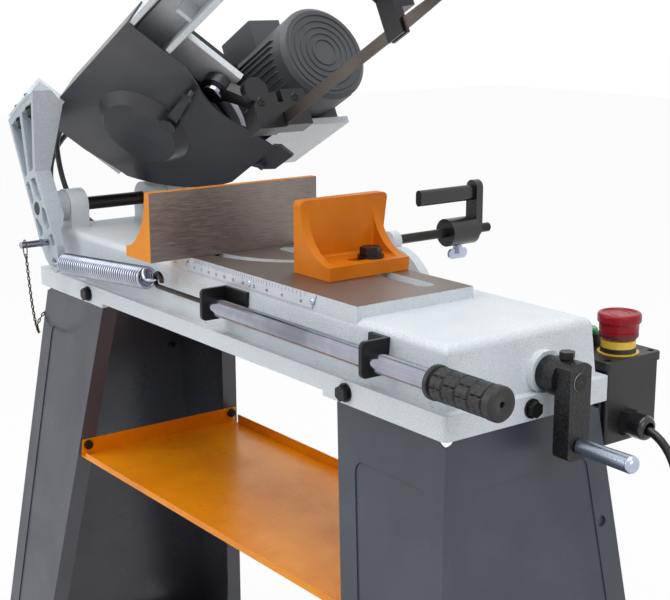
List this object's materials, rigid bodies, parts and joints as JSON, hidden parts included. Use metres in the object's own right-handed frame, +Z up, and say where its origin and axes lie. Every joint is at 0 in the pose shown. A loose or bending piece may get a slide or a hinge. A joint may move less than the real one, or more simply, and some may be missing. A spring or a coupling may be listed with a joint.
{
  "type": "metal_cutting_band_saw",
  "caption": "Horizontal and vertical metal cutting band saw: tilting bow with a blade loop over two wheels, swivel vise with crank, spring feed adjuster, work stop and sheet stand.",
  "frame": {"origin": "on the floor at the middle of the four floor bolts of the stand", "axes": "X along the bed to the crank end, Y to the rear, Z up"},
  "size_m": [1.0391, 0.5448, 1.0717],
  "materials": {
    "cast_paint": "satin",
    "orange_paint": "satin",
    "blue_grey_paint": "satin",
    "motor_paint": "satin",
    "bright_chrome": "polished",
    "bare_steel": "brushed",
    "scale_plate": "satin",
    "black_iron": "matte",
    "black_rubber": "matte",
    "black_plastic": "matte",
    "red_plastic": "gloss",
    "yellow_plastic": "gloss",
    "green_plastic": "gloss"
  },
  "bodies": {
    "base": {"bed_casting": "cast_paint", "left_leg": "blue_grey_paint", "right_leg": "blue_grey_paint", "chip_tray": "orange_paint", "tray_bolts": "black_iron", "leg_bolts": "black_iron", "angle_scale": "scale_plate", "tube_brackets": "blue_grey_paint", "control_bracket": "blue_grey_paint", "control_box": "black_plastic", "box_lid": "black_plastic", "estop_base": "yellow_plastic", "cable_gland": "black_plastic", "power_cord": "black_rubber", "power_cord_coil": "black_rubber", "power_plug": "black_plastic", "motor_cable": "black_rubber", "switch_cable": "black_rubber", "pin_chain": "black_iron"},
    "estop": {"estop_button": "red_plastic"},
    "start": {"start_button": "green_plastic"},
    "stop_bar": {"stop_rod": "bare_steel"},
    "stop_finger": {"stop_arm": "black_iron"},
    "stop_clamp": {"wing_screw": "black_iron"},
    "screw": {"lead_screw": "bare_steel", "thrust_collar": "black_iron", "crank_arm": "black_iron"},
    "handle": {"crank_handle": "bare_steel"},
    "crank_lock": {"thumb_screw": "black_iron"},
    "nut": {"vise_nut": "bare_steel", "jaw_bolt": "black_iron"},
    "moving_jaw": {"movable_jaw": "orange_paint"},
    "still_jaw": {"fixed_jaw": "orange_paint", "fixed_jaw_bolts": "black_iron"},
    "adjuster": {"adjuster_tube": "bright_chrome", "adjuster_grip": "black_rubber"},
    "rod": {"spring_rod": "bare_steel", "feed_spring": "bare_steel"},
    "bow": {"bow_casting": "cast_paint", "pivot_shaft": "bare_steel", "front_arm": "cast_paint", "arm_screws": "black_iron", "wheel_cover": "blue_grey_paint", "idler_cover": "blue_grey_paint", "blade": "bare_steel", "guide_post": "bright_chrome", "left_guide": "black_iron", "gearbox": "black_iron", "motor": "motor_paint", "v_belt": "black_rubber", "belt_cover": "blue_grey_paint"},
    "pin": {"lock_pin": "bright_chrome"},
    "drive": {"drive_wheel": "black_iron"},
    "idler_slide": {"tension_block": "black_iron"},
    "idler": {"idler_wheel": "black_iron"},
    "knob": {"tension_knob": "black_plastic"},
    "guide": {"right_guide": "black_iron"},
    "latch": {"cover_lever": "black_plastic"},
    "motor_sheave": {"motor_pulley": "black_iron"},
    "gear_sheave": {"gearbox_pulley": "black_iron"}
  },
  "joints": [
    {"name": "bow_pivot", "type": "hinge", "parent": "base", "child": "bow", "pos_m": [-0.339, 0, 0.6205], "axis": [0, -1, 0], "range_deg": [-27.5, 62.5], "deforming": ["feed_spring", "motor_cable", "switch_cable", "pin_chain"]},
    {"name": "drive_spin", "type": "hinge", "parent": "bow", "child": "drive", "pos_m": [-0.26137, 0.0133, 0.72258], "axis": [0.3265, -0.7071, -0.6272], "continuous": true},
    {"name": "tension_slide", "type": "slide", "parent": "bow", "child": "idler_slide", "axis": [0.887, 0, 0.4617], "range_m": [-0.012, 0]},
    {"name": "idler_spin", "type": "hinge", "parent": "idler_slide", "child": "idler", "pos_m": [0.20609, 0.0133, 0.96593], "axis": [0.3265, -0.7071, -0.6272], "continuous": true},
    {"name": "tension_turn", "type": "hinge", "parent": "bow", "child": "knob", "pos_m": [0.30451, 0.03451, 1.04108], "axis": [0.887, 0, 0.4617], "range_deg": [-2880, 0]},
    {"name": "right_guide_slide", "type": "slide", "parent": "bow", "child": "guide", "axis": [0.887, 0, 0.4617], "range_m": [-0.15, 0.006]},
    {"name": "cover_lever_turn", "type": "hinge", "parent": "bow", "child": "latch", "pos_m": [-0.20749, 0.01471, 0.74904], "axis": [0.3265, -0.7071, -0.6272], "range_deg": [-90, 30]},
    {"name": "gearbox_pulley_spin", "type": "hinge", "parent": "bow", "child": "gear_sheave", "pos_m": [-0.29859, 0.043, 0.79409], "axis": [0.887, 0, 0.4617], "continuous": true},
    {"name": "motor_pulley_spin", "type": "hinge", "parent": "bow", "child": "motor_sheave", "pos_m": [-0.37225, 0.1715, 0.68437], "axis": [0.887, 0, 0.4617], "continuous": true},
    {"name": "lock_pin_slide", "type": "slide", "parent": "bow", "child": "pin", "axis": [0, -1, 0], "range_m": [0, 0.03], "deforming": ["pin_chain"]},
    {"name": "jaw_slide", "type": "slide", "parent": "base", "child": "nut", "axis": [1, 0, 0], "range_m": [-0.122, 0.066]},
    {"name": "crank_turn", "type": "hinge", "parent": "base", "child": "screw", "pos_m": [0.38, 0.0215, 0.5577], "axis": [1, 0, 0], "range_deg": [-10980, 5940]},
    {"name": "handle_spin", "type": "hinge", "parent": "screw", "child": "handle", "pos_m": [0.412, 0.0215, 0.5027], "axis": [1, 0, 0], "continuous": true},
    {"name": "thumb_screw_turn", "type": "hinge", "parent": "screw", "child": "crank_lock", "pos_m": [0.395, 0.0215, 0.58], "axis": [0, 0, 1], "range_deg": [-180, 180]},
    {"name": "jaw_swivel", "type": "hinge", "parent": "nut", "child": "moving_jaw", "pos_m": [0.132, 0.0215, 0.606], "axis": [0, 0, 1], "range_deg": [0, 45]},
    {"name": "fixed_jaw_swivel", "type": "hinge", "parent": "base", "child": "still_jaw", "pos_m": [-0.039, 0.0615, 0.606], "axis": [0, 0, 1], "range_deg": [0, 45]},
    {"name": "stop_rod_turn", "type": "hinge", "parent": "base", "child": "stop_bar", "pos_m": [0.08, 0.15, 0.62], "axis": [0, 1, 0], "range_deg": [-60, 60]},
    {"name": "stop_arm_slide", "type": "slide", "parent": "stop_bar", "child": "stop_finger", "axis": [0, 1, 0], "range_m": [-0.04, 0.014]},
    {"name": "wing_turn", "type": "hinge", "parent": "stop_finger", "child": "stop_clamp", "pos_m": [0.08, 0.1825, 0.6], "axis": [0, 0, 1], "range_deg": [-90, 90]},
    {"name": "adjuster_turn", "type": "hinge", "parent": "base", "child": "adjuster", "pos_m": [0.03, -0.101, 0.5705], "axis": [1, 0, 0], "range_deg": [-8640, 8640]},
    {"name": "rod_slide", "type": "slide", "parent": "base", "child": "rod", "axis": [1, 0, 0], "range_m": [-0.03, 0.03], "deforming": ["feed_spring"]},
    {"name": "estop_push", "type": "slide", "parent": "base", "child": "estop", "axis": [0, 0, -1], "range_m": [0, 0.003]},
    {"name": "start_push", "type": "slide", "parent": "base", "child": "start", "axis": [0, 0, -1], "range_m": [0, 0.003], "stiffness_N_per_m": 800, "springref_m": -0.001}
  ],
  "couplings": [
    {"joint": "idler_spin", "follows": "drive_spin", "ratio": 1},
    {"joint": "gearbox_pulley_spin", "follows": "drive_spin", "ratio": 20},
    {"joint": "motor_pulley_spin", "follows": "drive_spin", "ratio": 31.429},
    {"joint": "tension_turn", "follows": "tension_slide", "rad_per_m": 4188.8},
    {"joint": "crank_turn", "follows": "jaw_slide", "rad_per_m": 1570.8},
    {"joint": "adjuster_turn", "follows": "rod_slide", "rad_per_m": 5026.5}
  ]
}
